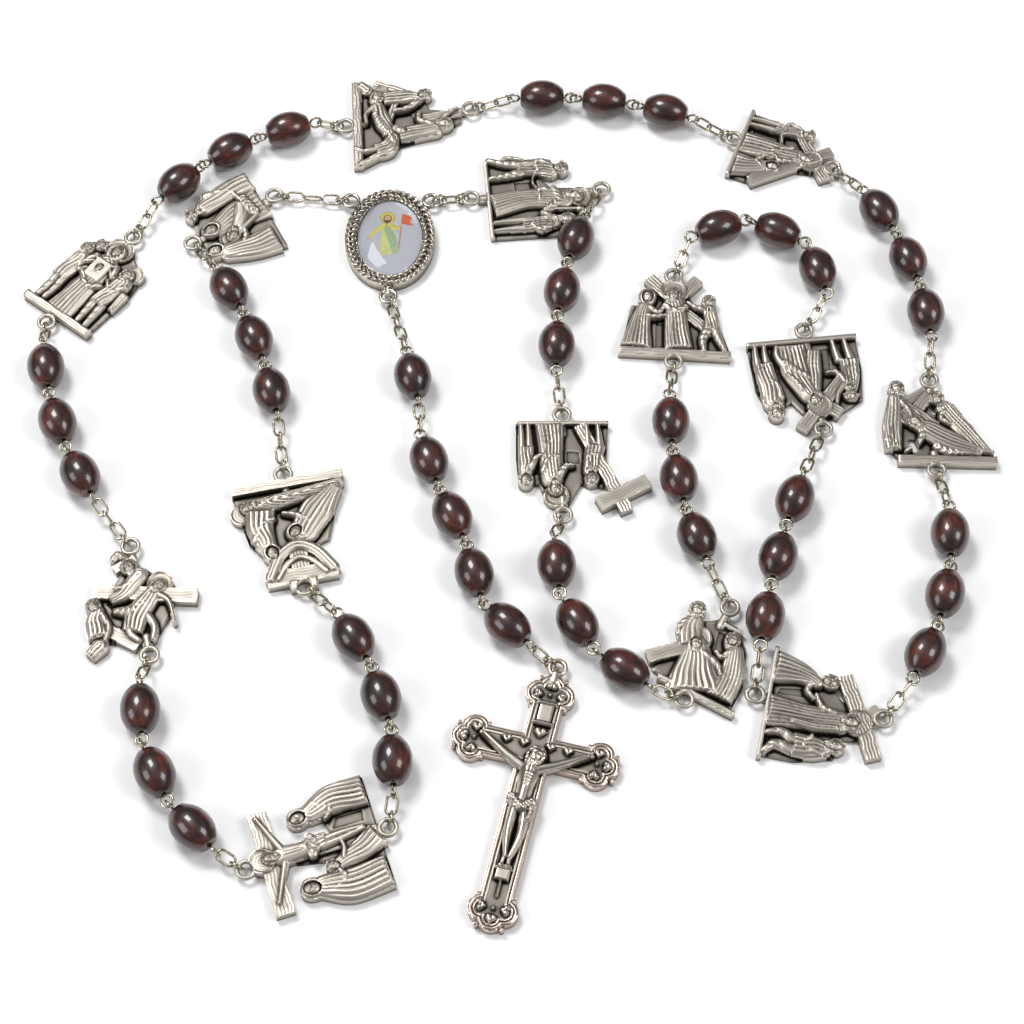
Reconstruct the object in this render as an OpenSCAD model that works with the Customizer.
// Rosary with fourteen scene medals, wooden beads and a crucifix, laid out flat.
// The origin is the centre of the centre medal's back, on the surface it rests on.
// +Z is up, -Y runs along the drop towards the crucifix.

/* [Beads] */
// Length of a wooden bead along its hole
bead_l = 9; // [7.5:0.1:11]
// Largest diameter of a wooden bead
bead_d = 7; // [6:0.1:8.4]
// Diameter of the flat at each end of a bead
bead_end_d = 2.6; // [2:0.1:3.2]
// Diameter of the hole through a bead
bead_hole_d = 0.9; // [0.8:0.1:1.4]

/* [Wire and links] */
// Diameter of the wire of eye pins and oval links
wire_d = 0.5; // [0.4:0.05:0.6]
// Centreline radius of the eye at each end of a bead pin
eye_r = 1.15; // [1.05:0.05:1.5]
// Gap between a bead's end and the eye next to it
eye_gap = 0.1; // [0:0.05:0.5]
// Distance between the centres of two eyes that hook into each other
eye_hook = 1.1; // [0.9:0.05:1.3]
// Centreline radius of an oval link's round ends
link_r = 1; // [0.9:0.05:1.3]
// Straight length between an oval link's round ends
link_straight = 1.6; // [1:0.1:2.4]
// Wire diameter of a jump ring
ring_wire_d = 0.54; // [0.45:0.02:0.6]
// Centreline radius of a jump ring
ring_r = 1.3; // [1.25:0.05:1.6]
// Share of the taut length at which links lie
slack = 0.94; // [0.9:0.01:0.97]

/* [Medals] */
// Thickness of a scene medal
medal_t = 2.6; // [2.2:0.1:3.2]
// Thickness of the field behind a medal's figures
field_t = 1.3; // [1:0.1:1.6]
// Average distance between a medal's two ear holes
medal_span = 23.5; // [20:0.5:28]
// Outer radius of an ear
ear_r = 1.95; // [1.8:0.05:2.3]
// Radius of the hole in an ear
ear_hole_r = 1.15; // [1.1:0.05:1.3]
// Thickness of an ear
ear_t = 1; // [0.8:0.1:1.2]
// Height of an ear's middle above the back of its medal
ear_z = 1.6; // [1.5:0.05:1.8]
// Height of the figures' heads, crown to chin
head_h = 2.9; // [2.4:0.1:3.4]

/* [Centre medal] */
// Half width of the centre medal's rim
centre_rx = 9.1; // [8:0.1:11]
// Half height of the centre medal's rim
centre_ry = 11.9; // [10.5:0.1:14]
// Width of the braided rim
rim_w = 2.5; // [2:0.1:3]
// Thickness of the centre medal's rim
rim_t = 3; // [2.4:0.1:3.6]
// Height of the floor that the picture lies on
floor_t = 1.2; // [1:0.1:1.6]
// Thickness of the picture
picture_t = 0.3; // [0.2:0.1:0.5]
// Height of the clear dome over the picture
dome_h = 1.7; // [1.2:0.1:2.4]
// Clearance round the picture and the dome
inlay_gap = 0.05; // [0.02:0.01:0.1]

/* [Crucifix] */
// Distance from the crossing to the tip of the foot
cross_foot = 35; // [30:1:42]
// Distance from the crossing to the ear's hole
cross_head = 17.2; // [16:0.2:20]
// Distance from the crossing to the tip of an arm
cross_arm = 15.5; // [14:0.5:19]
// Width of the stem and the arms
cross_w = 5.9; // [5:0.1:7]
// Thickness of the border plate
cross_t = 1.5; // [1.2:0.1:2]
// Thickness of the raised inner layer
inlay_t = 0.5; // [0.4:0.1:1]
// Width of the border left round the inner layer
border_w = 0.8; // [0.6:0.1:1]
// Radius of the round lobes at the four ends
lobe_r = 2.5; // [2.2:0.1:2.8]

/* [Hidden] */
function two(k) = k < 10 ? str("0", k) : str(k);
$fn = 48;

// One row a medal, from the first round to the last: where its middle lies, which way
// its figures stand, and the distance between its ear holes, all for the average span.
STATIONS = [
    [-32, 5, -143, 20], [-16.5, -68, -78, 25], [-9.5, -132.5, -162, 26], [-44.5, -83, 103, 23.5],
    [-60, -10, 53, 26], [3, 31.5, 10, 26.5], [81, 22, -21, 21.5],
    [106.5, -44.5, 89, 20.5], [80.6, -104.9, -12, 23.5], [84, -34, -84, 23], [57, -19.5, 88, 20.5],
    [60.7, -94, 64, 21], [34.5, -53.5, -90, 22.5], [29.8, 11.5, 5, 27]];
LAST_UP = 7; // the loop enters these first medals by the base ear, the others by the top ear

// One row a strand of three beads: links at its start, links at its end, side it bows to
STRANDS = [[3, 4, 1], [3, 2, 1], [2, 2, 1], [4, 2, 1], [3, 2, 1], [3, 3, 1], [3, 3, 1],
    [3, 3, 1], [3, 4, 1], [3, 3, -1], [3, 3, -1], [2, 2, 1], [3, 3, 1]];
// The strands whose first and last ring lies in the ear of a medal that stays on the table
RING_AT_START = [1, 5, 7, 8, 10, 11, 13];
RING_AT_END = [4, 6, 7, 9, 10, 12, 13];
// The strands that carry such a ring with them
OWN_START = [3, 4, 6, 9, 12];
OWN_END = [1, 2, 5, 8, 11];

// Directions of the drop's beads, and of the links before, after the first and at the end
DROP_TURN = [-78, -73, -66, -76, -45];
DROP_ROLL = [7, 0, 0, 7, 0]; // how far each drop bead is turned about its wire
DROP_LINKS_IN = 5;
DROP_IN = -74;
DROP_SECOND = -86;
DROP_OUT = -36;
CROSS_TURN = 76;

UPRIGHT = 75; // roll of a link that stands on edge, leaning a little
FLAT = -15;   // roll of a link that lies nearly flat

bead_z = bead_d / 2;
eye_x = bead_l / 2 + eye_gap + eye_r + wire_d / 2;
bead_arc = (pow(bead_d / 2 - bead_end_d / 2, 2) + pow(bead_l / 2, 2)) / (bead_d - bead_end_d);
link_half = link_straight / 2 + link_r;
in_ring = ring_r - ring_wire_d / 2;
in_link = link_half - wire_d / 2;
in_eye = eye_r - wire_d / 2;
// an ear's rim sits in the middle of its jump ring, with room for the next link beyond it
ear_to_ring = (ear_r + ear_hole_r) / 2 + 0.2;
// nominal strand, three beads and three links at each end, which the lay grows with
strand_now = 6 * eye_x + 2 * eye_hook + 2 * chain_len(3);
strand_drawn = 56.5;
span_drawn = 23.5;
lay = (strand_now + medal_span) / (strand_drawn + span_drawn);
grow = medal_span / span_drawn;

// ---------- places ----------
function dir(a) = [cos(a), sin(a)];
function heading(v) = atan2(v[1], v[0]);
function flat3(p, z) = [p[0], p[1], z];
function middle(i) = lay * [STATIONS[i - 1][0], STATIONS[i - 1][1]];
function turn(i) = STATIONS[i - 1][2];
function span(i) = grow * STATIONS[i - 1][3];
function ear_at(i, end) = middle(i) + end * span(i) / 2 * dir(turn(i));
function way(i) = i <= LAST_UP ? 1 : -1;
function ear_in(i) = ear_at(i, -way(i));
function ear_out(i) = ear_at(i, way(i));

// taut length from a jump ring's centre to the eye that n links, itself included, lead to
function taut(n) = in_ring + in_eye + (n - 1) * 2 * in_link;
// length over the table from an ear's hole to that eye, which lies higher than the ear
function chain_len(n) = ear_to_ring + sqrt(pow(slack * taut(n), 2) - pow(bead_z - ear_z, 2));
// centre of the jump ring in an ear that leads to an eye, level with the ear
function ring_place(ear, eye) =
    flat3([ear[0], ear[1]] + ear_to_ring * dir(heading(eye - ear)), ear_z);

// half the angle between neighbouring beads on an arc of radius r
function half_step(r) = atan(eye_x / r) + asin(eye_hook / 2 / sqrt(r * r + eye_x * eye_x));
// angle between an ear and the nearest bead's middle, whose eye is g from the ear
function end_step(r, g) =
    let (q = g * g - eye_x * eye_x, m = 4 * r * r - q, b = 4 * r * eye_x)
    2 * atan((b + sqrt(b * b + 4 * m * q)) / (2 * m));
function total_step(r, k) =
    4 * half_step(r) + end_step(r, chain_len(STRANDS[k - 1][0])) + end_step(r, chain_len(STRANDS[k - 1][1]));
function chord(k) = norm(ear_in(k + 1) - ear_out(k));
// radius at which the strand, at its own length, just spans its two ears
function solve(k, lo, hi, n) =
    let (m = (lo + hi) / 2)
    n == 0 ? 1 / m :
    2 / m * sin(total_step(1 / m, k) / 2) > chord(k) ? solve(k, m, hi, n - 1) : solve(k, lo, m, n - 1);
RADII = [for (k = [1:13]) solve(k, 0.0002, 0.09, 40)];

function radius(k) = RADII[k - 1];
function side(k) = STRANDS[k - 1][2];
function run(k) = heading(ear_in(k + 1) - ear_out(k));
// point and direction on the arc of strand k, at an angle from its first ear
function arc_turn(k, a) = run(k) + side(k) * (total_step(radius(k), k) / 2 - a);
function arc_point(k, a) =
    ear_out(k) + 2 * radius(k) * sin(a / 2) * dir(run(k) + side(k) * (total_step(radius(k), k) - a) / 2);
function bead_angle(k, b) =
    end_step(radius(k), chain_len(STRANDS[k - 1][0])) + (b - 1) * 2 * half_step(radius(k));
function bead_turn(k, b) = arc_turn(k, bead_angle(k, b));
function bead_place(k, b) = flat3(arc_point(k, bead_angle(k, b)), bead_z);
function eye_place(k, b, end) = bead_place(k, b) + flat3(end * eye_x * dir(bead_turn(k, b)), 0);

// the drop, bead after bead
centre_ear_x = centre_rx - 0.9;
centre_ear_y = centre_ry * 0.81;
foot_ear_y = -centre_ry - ear_r - 0.35;
pair_gap = slack * (2 * in_eye + 4 * in_link);
function drop_turn(i) = DROP_TURN[i - 1];
function drop_step(i) =
    i == 2 ? pair_gap * dir(DROP_SECOND) : eye_hook * dir((drop_turn(i - 1) + drop_turn(i)) / 2);
function drop_xy(i) =
    i == 1 ? [0, foot_ear_y] + chain_len(DROP_LINKS_IN) * dir(DROP_IN) + eye_x * dir(drop_turn(1))
    : drop_xy(i - 1) + eye_x * dir(drop_turn(i - 1)) + drop_step(i) + eye_x * dir(drop_turn(i));
function drop_eye(i, end) = flat3(drop_xy(i) + end * eye_x * dir(drop_turn(i)), bead_z);
cross_ear = flat3(drop_xy(5) + eye_x * dir(drop_turn(5)) + chain_len(2) * dir(DROP_OUT), ear_z);

// ---------- wire pieces ----------
module ring(r, d) {
    rotate_extrude() translate([r, 0]) circle(d = d);
}

module oval_link() {
    for (end = [0, 180])
        rotate([0, 0, end]) translate([link_straight / 2, 0, 0])
            rotate([0, 0, -90]) rotate_extrude(angle = 180) translate([link_r, 0]) circle(d = wire_d);
    for (y = [-link_r, link_r])
        translate([-link_straight / 2, y, 0]) rotate([0, 90, 0]) cylinder(h = link_straight, d = wire_d);
}

// carries what follows to a share of the way from a to b, turned along that line
module along(a, b, share, roll) {
    v = b - a;
    translate(a + share * v) rotate([0, 0, heading(v)])
        rotate([0, -atan2(v[2], norm([v[0], v[1]])), 0]) rotate([roll, 0, 0]) children();
}

function roll(j) = j % 2 == 1 ? UPRIGHT : FLAT;

module jump_ring(ear, eye, way) {
    translate(ring_place(ear, eye)) rotate([0, 0, heading(eye - ear) + (way > 0 ? 0 : 180)])
        rotate([UPRIGHT, 0, 0]) ring(ring_r, ring_wire_d);
}

// oval links 2..n between an ear's jump ring and an eye; way is 1 when the chain leaves the ear
module oval_links(ear, eye, n, way) {
    start = ring_place(ear, eye);
    for (j = [2:1:n]) {
        share = (in_ring + (2 * j - 3) * in_link) / taut(n);
        if (way > 0) along(start, eye, share, roll(j)) oval_link();
        else along(eye, start, 1 - share, roll(j)) oval_link();
    }
}

// a straight wire through a bead with an eye at each end, rolled as its neighbours need
module eye_pin(roll_in, roll_out) {
    length = 2 * (eye_x - eye_r);
    translate([-length / 2, 0, 0]) rotate([0, 90, 0]) cylinder(h = length, d = wire_d);
    translate([-eye_x, 0, 0]) rotate([roll_in, 0, 0]) ring(eye_r, wire_d);
    translate([eye_x, 0, 0]) rotate([roll_out, 0, 0]) ring(eye_r, wire_d);
}

module bead_solid() {
    rotate([0, 90, 0]) rotate_extrude() intersection() {
        translate([bead_d / 2 - bead_arc, 0]) circle(bead_arc, $fn = 96);
        translate([bead_hole_d / 2, -bead_l / 2]) square([bead_d, bead_l]);
    }
}

module at_bead(k, b) {
    translate(bead_place(k, b)) rotate([0, 0, bead_turn(k, b)]) children();
}

module beads(k) {
    color("#3b1c17") for (b = [1:3]) at_bead(k, b) bead_solid();
}

function has(list, k) = len(search(k, list)) > 0;
function links_in(k) = STRANDS[k - 1][0];
function links_out(k) = STRANDS[k - 1][1];
function start_ear(k) = flat3(ear_out(k), ear_z);
function end_ear(k) = flat3(ear_in(k + 1), ear_z);
module start_ring(k) { jump_ring(start_ear(k), eye_place(k, 1, -1), 1); }
module end_ring(k) { jump_ring(end_ear(k), eye_place(k, 3, 1), -1); }

module wires(k) {
    color("silver") {
        for (b = [1:3])
            at_bead(k, b) eye_pin(b == 1 ? roll(links_in(k) + 1) : FLAT,
                b == 3 ? roll(links_out(k) + 1) : UPRIGHT);
        oval_links(start_ear(k), eye_place(k, 1, -1), links_in(k), 1);
        oval_links(end_ear(k), eye_place(k, 3, 1), links_out(k), -1);
        if (has(OWN_START, k)) start_ring(k);
        if (has(OWN_END, k)) end_ring(k);
        // the outer strands also carry the rings that the inner panel hangs on
        if (k == 1) start_ring(2);
        if (k == 4) end_ring(3);
    }
}

// ---------- jump rings and plain chains ----------
left_ear = [-centre_ear_x, centre_ear_y, ear_z];
right_ear = [centre_ear_x, centre_ear_y, ear_z];
foot_ear = [0, foot_ear_y, ear_z];
first_ear = flat3(ear_in(1), ear_z);
last_ear = flat3(ear_out(14), ear_z);

module jump_rings() {
    color("silver") {
        for (k = RING_AT_START) start_ring(k);
        for (k = RING_AT_END) end_ring(k);
        for (pair = [[left_ear, first_ear], [right_ear, last_ear]]) {
            jump_ring(pair[0], pair[1], 1);
            jump_ring(pair[1], pair[0], -1);
        }
        jump_ring(foot_ear, drop_eye(1, -1), 1);
    }
}

// an odd number of oval links between the jump rings of two ears, as many as the gap takes
module plain_chain(a, b) {
    start = ring_place(a, b);
    end = ring_place(b, a);
    near = slack * (in_ring + in_link) / norm(end - start);
    n = 1 + 2 * round((1 - 2 * near) * norm(end - start) / (4 * in_link * slack));
    first = n == 1 ? 0.5 : near;
    color("silver") for (j = [1:n])
        along(start, end, first + (1 - 2 * first) * (j - 1) / max(n - 1, 1), roll(j + 1)) oval_link();
}

module chain_left() { plain_chain(left_ear, first_ear); }
module chain_right() { plain_chain(right_ear, last_ear); }

// ---------- the drop ----------
module drop_chain() {
    color("silver") oval_links(foot_ear, drop_eye(1, -1), DROP_LINKS_IN, 1);
}

module drop_pin(i) {
    color("silver") {
        translate(flat3(drop_xy(i), bead_z)) rotate([0, 0, drop_turn(i)]) eye_pin(FLAT, UPRIGHT);
        if (i == 2) for (j = [1, 2])
            along(drop_eye(1, 1), drop_eye(2, -1), (in_eye + (2 * j - 1) * in_link) / (2 * in_eye + 4 * in_link),
                roll(j + 1)) oval_link();
    }
}

module drop_bead(i) {
    color("#3b1c17") translate(flat3(drop_xy(i), bead_z)) rotate([0, 0, drop_turn(i)])
        rotate([DROP_ROLL[i - 1], 0, 0]) bead_solid();
}

module crucifix_chain() {
    color("silver") {
        jump_ring(cross_ear, drop_eye(5, 1), -1);
        oval_links(cross_ear, drop_eye(5, 1), 2, -1);
    }
}

// ---------- centre medal ----------
module oval(rx, ry) {
    polygon([for (a = [0:5:355]) [rx * cos(a), ry * sin(a)]]);
}

module ear(x, y) {
    translate([x, y, ear_z - ear_t / 2]) cylinder(h = ear_t, r = ear_r);
}

module ear_hole(x, y) {
    translate([x, y, -1]) cylinder(h = medal_t + rim_t, r = ear_hole_r);
}

CENTRE_EARS = [[-centre_ear_x, centre_ear_y], [centre_ear_x, centre_ear_y], [0, foot_ear_y]];

module centre_frame() {
    color("#b9b2a6") difference() {
        union() {
            linear_extrude(rim_t) oval(centre_rx, centre_ry);
            for (e = CENTRE_EARS) ear(e[0], e[1]);
            translate([-0.9, foot_ear_y + 1.3, ear_z - ear_t / 2]) cube([1.8, 1.8, ear_t]);
        }
        translate([0, 0, floor_t]) linear_extrude(rim_t) oval(centre_rx - rim_w, centre_ry - rim_w);
        for (e = CENTRE_EARS) ear_hole(e[0], e[1]);
    }
}

module centre_picture() {
    color("#d8dfe0") translate([0, 0, floor_t]) linear_extrude(picture_t)
        oval(centre_rx - rim_w - inlay_gap, centre_ry - rim_w - inlay_gap);
}

module centre_dome() {
    color("#eef4f6", 0.4) translate([0, 0, floor_t + picture_t]) intersection() {
        scale([centre_rx - rim_w - inlay_gap, centre_ry - rim_w - inlay_gap, dome_h]) sphere(1, $fn = 40);
        translate([-centre_rx, -centre_ry, 0]) cube([2 * centre_rx, 2 * centre_ry, dome_h + 1]);
    }
}

// ---------- scene medals ----------
// Each scene is drawn upright, x across and y up, with its ears on the y axis.

module field(points) {
    linear_extrude(field_t) polygon(points);
}

module ground(w, y) {
    translate([-w / 2, y, 0]) cube([w, 1.3, medal_t]);
}

module beam(x1, y1, x2, y2, w, h) {
    v = [x2 - x1, y2 - y1];
    translate([x1, y1, 0]) rotate([0, 0, heading(v)]) translate([0, -w / 2, 0]) cube([norm(v), w, h]);
}

module halo(x, y) {
    translate([x, y, 0]) cylinder(h = field_t + 0.5, r = head_h * 0.78);
}

module head(x, y) {
    intersection() {
        translate([x, y, field_t]) sphere(head_h / 2);
        translate([x - head_h, y - head_h, 0]) cube([2 * head_h, 2 * head_h, medal_t + 0.2]);
    }
    translate([x, y, 0]) cylinder(h = field_t, r = head_h * 0.46);
}

// a robed figure from its hem at (x, y) to its crown h above, leaning by a angle
module person(x, y, h, lean, hem) {
    neck = h - head_h * 0.85;
    translate([x, y, 0]) rotate([0, 0, -lean]) {
        linear_extrude(medal_t - 0.35) polygon([[-hem / 2, 0], [hem / 2, 0], [hem * 0.36, neck * 0.55],
            [head_h * 0.62, neck * 0.93], [head_h * 0.2, neck + 0.2], [-head_h * 0.2, neck + 0.2],
            [-head_h * 0.62, neck * 0.93], [-hem * 0.36, neck * 0.55]]);
        head(0, h - head_h / 2);
    }
}

module limb(x1, y1, x2, y2) {
    beam(x1, y1, x2, y2, 1.1, medal_t - 0.3);
}

module figures(i) {
    b = -span(i) / grow / 2 + ear_r - 0.15;
    t = span(i) / grow / 2 - ear_r + 0.15;
    if (i == 1) {
        field([[-9.5, b], [9.5, b], [6, t - 3], [1.6, t], [-1.6, t], [-6, t - 3]]);
        ground(19.5, b);
        person(-5.2, b + 1, 12.5, 10, 7);
        person(0, b + 1, 15.5, 0, 8);
        person(5.6, b + 1, 12, -12, 7);
        limb(-4, -1.5, 4.5, -3.5);
    }
    if (i == 2) {
        field([[-10, b], [10, b], [8, 2], [2, 6], [1.3, t], [-1.3, t], [-2, 6], [-8.5, 3]]);
        ground(21, b);
        beam(-8.5, b + 2.6, 8.5, b + 2.6, 3, medal_t);
        head(-7.6, b + 3);
        person(-4.5, b + 2.5, 12.5, 12, 5.5);
        person(5, b + 2.5, 11.5, -14, 5.5);
        beam(0, b + 2, 0, t, 2.2, medal_t - 0.6);
        beam(-5.2, t - 4.2, 5.2, t - 4.2, 2.2, medal_t - 0.6);
        beam(-1.8, t - 1.2, 1.8, t - 1.2, 1.8, medal_t - 0.2);
    }
    if (i == 3) {
        field([[-9, b], [9.5, b], [7.5, -1], [2.5, -2], [1.3, t], [-1.3, t], [-2.5, -2], [-6.5, 0]]);
        ground(19.5, b);
        beam(0, b, 0, t, 2.4, medal_t - 0.7);
        beam(-7.8, t - 3.4, 7.8, t - 3.4, 2.4, medal_t - 0.7);
        halo(0, t - 2.4);
        head(0, t - 2.6);
        beam(0, b + 6, 0, t - 4, 2.6, medal_t - 0.1);
        limb(-7, t - 3, -1, t - 4.6);
        limb(7, t - 3, 1, t - 4.6);
        person(-6, b + 1, 12, 3, 6.5);
        person(6.2, b + 1, 12.5, -3, 6.5);
        person(2.6, b + 1, 8, -6, 4.5);
    }
    if (i == 4) {
        field([[-9, b + 1], [7.5, b], [5.5, -2], [7, 3], [1.5, t], [-1.5, t], [-6, 5], [-5.5, -2]]);
        ground(16, b);
        beam(-7.5, -5, 9.6, 2.6, 2.6, medal_t - 0.5);
        beam(-6, b + 1, -2, 3, 2.4, medal_t - 0.6);
        person(-5, b + 1, 13, 22, 6);
        halo(-4.6, 5.6);
        head(-4.4, 5.4);
        beam(-4.2, 3.6, 3, -1, 3, medal_t - 0.1);
        limb(2.6, -1, 5.6, b + 1.6);
        limb(1, -1, 1.6, b + 1.6);
        head(-8, -2.6);
    }
    if (i == 5) {
        field([[-9.5, b], [9.5, b], [7, 4], [2.4, t - 1], [1.3, t], [-1.3, t], [-6, 5.4]]);
        ground(20, b);
        person(0.5, b + 1, 17, 0, 8.5);
        person(-6, b + 1, 15.5, 6, 6);
        person(6.2, b + 1, 14.5, -4, 6);
        halo(6, b + 14);
        beam(-3.4, 0.5, 3.4, -0.5, 4.2, medal_t);
    }
    if (i == 6) {
        field([[-10, b], [10, b], [8, 3], [3, 7], [1.4, t], [-1.4, t], [-3, 7], [-8, 4]]);
        ground(21, b);
        person(-0.4, b + 1, 17.5, 4, 6);
        halo(0.7, b + 17);
        person(-6.4, b + 1, 15.5, 8, 5.6);
        person(6, b + 1, 14, -10, 5.6);
        person(8.6, b + 1, 9, 0, 3.6);
        limb(-5, 1.5, 1, -0.5);
        beam(-2.4, 0.6, 3.6, 2.4, 1.4, medal_t);
    }
    if (i == 7) {
        field([[-9, b], [8.5, b], [7, 0], [3, 4], [1.4, t], [-1.4, t], [-5, 4], [-7.5, -2]]);
        ground(17, b);
        beam(7.5, b + 2, -2, t - 1.4, 2.4, medal_t - 0.3);
        beam(-5.4, t - 5, 2.4, t - 0.8, 2.4, medal_t - 0.3);
        person(-2, b + 1, 13.5, 14, 7);
        halo(1.2, b + 13);
        person(-6.6, b + 1, 9, 4, 5);
        person(6, b + 1, 11, -8, 5);
    }
    if (i == 8) {
        field([[-9, b], [10, b], [3.5, 3], [1.3, t], [-1.3, t], [-2, 2], [-7.5, 4], [-8.8, -3]]);
        ground(20, b);
        beam(-8, b + 3, -0.6, t, 2.6, medal_t - 0.6);
        beam(-7, 4.6, 0.8, -1.8, 2.6, medal_t - 0.6);
        beam(-5, -1.6, 6.5, b + 1.2, 4.2, medal_t - 0.2);
        halo(-5.6, -1.4);
        head(-5, -1.8);
        limb(-4, -3, -6.5, b + 1.4);
        person(-7, -2, 9, -4, 4);
        person(7.5, b + 1.2, 14, -30, 4);
    }
    if (i == 9) {
        field([[-9.5, b], [9.5, b], [7, 1], [4.5, 5], [1.4, t], [-1.4, t], [-4, 3], [-7.5, 2]]);
        ground(20.5, b);
        beam(3.2, b + 4, -0.4, t + 0.4, 2.4, medal_t - 0.3);
        beam(-6, 5.2, 7, 3.6, 2.4, medal_t - 0.3);
        person(0, b + 1, 15, 4, 7.5);
        halo(1.2, b + 14.2);
        person(-6.6, b + 1, 14, 16, 6.4);
        person(7, b + 1, 11.5, 6, 5);
    }
    if (i == 10) {
        field([[-9.5, b], [9.5, b], [8, 0], [3, 4.5], [1.4, t], [-1.4, t], [-3, 5], [-8, 2]]);
        ground(21, b);
        beam(7.6, b + 4, -6.4, t - 1, 2.6, medal_t - 0.5);
        beam(-6, 3, 0.8, t - 0.2, 2.6, medal_t - 0.5);
        person(0.5, b + 1, 14, -8, 8);
        halo(-1.2, b + 13.4);
        person(-7, b + 1, 12.5, 4, 5.4);
        person(7.2, b + 1, 14, -4, 5);
    }
    if (i == 11) {
        field([[-10, b], [10.5, b], [7.5, 1], [3.5, 3], [1.3, t], [-1.3, t], [-3.5, 3], [-7.5, 2]]);
        ground(22, b);
        beam(-5.6, t + 0.6, 6.4, b + 4.4, 2.6, medal_t - 0.6);
        beam(5.4, t + 0.6, -2.4, 0.4, 2.6, medal_t - 0.6);
        person(0.6, b + 1, 14, -2, 8);
        halo(0.3, b + 13.4);
        person(-6.6, b + 1, 13, 8, 7);
        person(7.4, b + 1, 11.4, -3, 5);
        limb(-4, 1.4, -0.5, 0.2);
        limb(6.6, 1.4, 2.4, 2.4);
    }
    if (i == 12) {
        field([[-8, b], [8, b], [7, 1], [4, 4.5], [1.4, t], [-1.4, t], [-6, 3.5], [-7, -1]]);
        ground(17, b);
        beam(-9, 0.2, 1.5, 3.6, 2.8, medal_t - 0.5);
        person(-0.8, b + 1, 12.5, 0, 10);
        halo(-0.8, b + 11.6);
        person(7, b + 1, 13.5, -6, 5.4);
        person(-0.2, b + 4, 13, 0, 5);
    }
    if (i == 13) {
        field([[-9, b], [9, b], [8, 1], [5, 3], [1.4, t], [-1.4, t], [-5, 3], [-8, 1]]);
        ground(18.5, b);
        beam(4, b + 1.4, -8.8, t - 2.6, 2.6, medal_t - 0.2);
        beam(-9.4, 2, -3.4, t - 0.8, 2.6, medal_t - 0.2);
        person(1.8, b + 1, 15, -6, 7.5);
        halo(0.4, b + 14.2);
        person(7, b + 1, 13, 0, 4.6);
        person(-4.6, b + 1, 11, 4, 4.6);
    }
    if (i == 14) {
        field([[-10, b], [8.5, b], [8, 4], [3, 5], [1.4, t], [-1.4, t], [-3, 6], [-6, 2], [-9, 3]]);
        ground(19, b);
        person(0, b + 1, 18.5, 0, 7.5);
        halo(0, b + 17.8);
        person(-6.6, b + 1, 16, 4, 6);
        person(6, b + 1, 14.5, -6, 5);
        beam(2.2, 2, 2.2, t - 1.4, 0.9, medal_t);
    }
}

module station(i) {
    color("#b3aca0") translate(flat3(middle(i), 0)) rotate([0, 0, turn(i) - 90]) difference() {
        union() {
            scale(grow) figures(i);
            for (end = [-1, 1]) ear(0, end * span(i) / 2);
        }
        for (end = [-1, 1]) ear_hole(0, end * span(i) / 2);
    }
}

// ---------- crucifix ----------
// Drawn upright with the crossing at its origin; w is the width left after the border.

module cross_outline(edge) {
    w = cross_w - 2 * edge;
    r = lobe_r - edge;
    square([w, 2 * (cross_head - ear_r - lobe_r)], center = true);
    translate([-w / 2, -cross_foot + lobe_r]) square([w, cross_foot]);
    translate([-cross_arm + lobe_r, -w / 2]) square([2 * (cross_arm - lobe_r), w]);
    for (e = [[0, cross_arm], [90, cross_head - ear_r + 0.2], [180, cross_arm], [270, cross_foot]])
        rotate([0, 0, e[0]]) translate([e[1] - lobe_r, 0]) {
            circle(r);
            for (y = [-1, 1]) translate([-1.4, y * 2]) circle(r);
        }
}

module at_cross() {
    translate(flat3(cross_ear, 0)) rotate([0, 0, CROSS_TURN - 90]) translate([0, -cross_head, 0]) children();
}

module crucifix_cross() {
    color("#c2aea2") at_cross() difference() {
        union() {
            linear_extrude(cross_t) cross_outline(0);
            translate([0, 0, cross_t / 2]) linear_extrude(cross_t / 2 + inlay_t) cross_outline(border_w);
            ear(0, cross_head);
            translate([-1.2, cross_head - ear_r - 0.6, ear_z - ear_t / 2]) cube([2.4, 1.5, ear_t]);
        }
        ear_hole(0, cross_head);
    }
}

// a limb or a body part with round ends, thicker at one end than at the other
module rod(x1, y1, x2, y2, r1, r2) {
    hull() {
        translate([x1, y1, 0]) sphere(r1, $fn = 20);
        translate([x2, y2, 0]) sphere(r2, $fn = 20);
    }
}

module crucifix_figure() {
    hand = cross_arm - lobe_r - 3;
    feet = -cross_foot + 13;
    color("#b9b0a2") at_cross() translate([0, 0, cross_t + inlay_t]) intersection() {
        union() {
            rod(0, -4.4, 0, -9, 2, 1.6);
            rod(0, -9, 0, -12.5, 1.7, 1.9);
            for (s = [-1, 1]) {
                rod(s * 1.6, -4, s * 5.2, -2.2, 0.9, 0.7);
                rod(s * 5.2, -2.2, s * hand, 1, 0.7, 0.55);
                rod(s * 0.9, -12.5, s * 1.2, -17.5, 1, 0.85);
                rod(s * 1.2, -17.5, s * 0.3, feet, 0.8, 0.55);
            }
            translate([0.3, -1.6, 0.4]) sphere(1.55, $fn = 20);
        }
        translate([-cross_arm, -cross_foot, 0]) cube([2 * cross_arm, 2 * cross_foot, 4]);
    }
}

centre_frame();
centre_picture();
centre_dome();
jump_rings();
chain_left();
chain_right();
for (k = [1:14]) station(k);
for (k = [1:13]) beads(k);
for (k = [1:13]) wires(k);
drop_chain();
for (i = [1:5]) drop_pin(i);
for (i = [1:5]) drop_bead(i);
crucifix_chain();
crucifix_cross();
crucifix_figure();
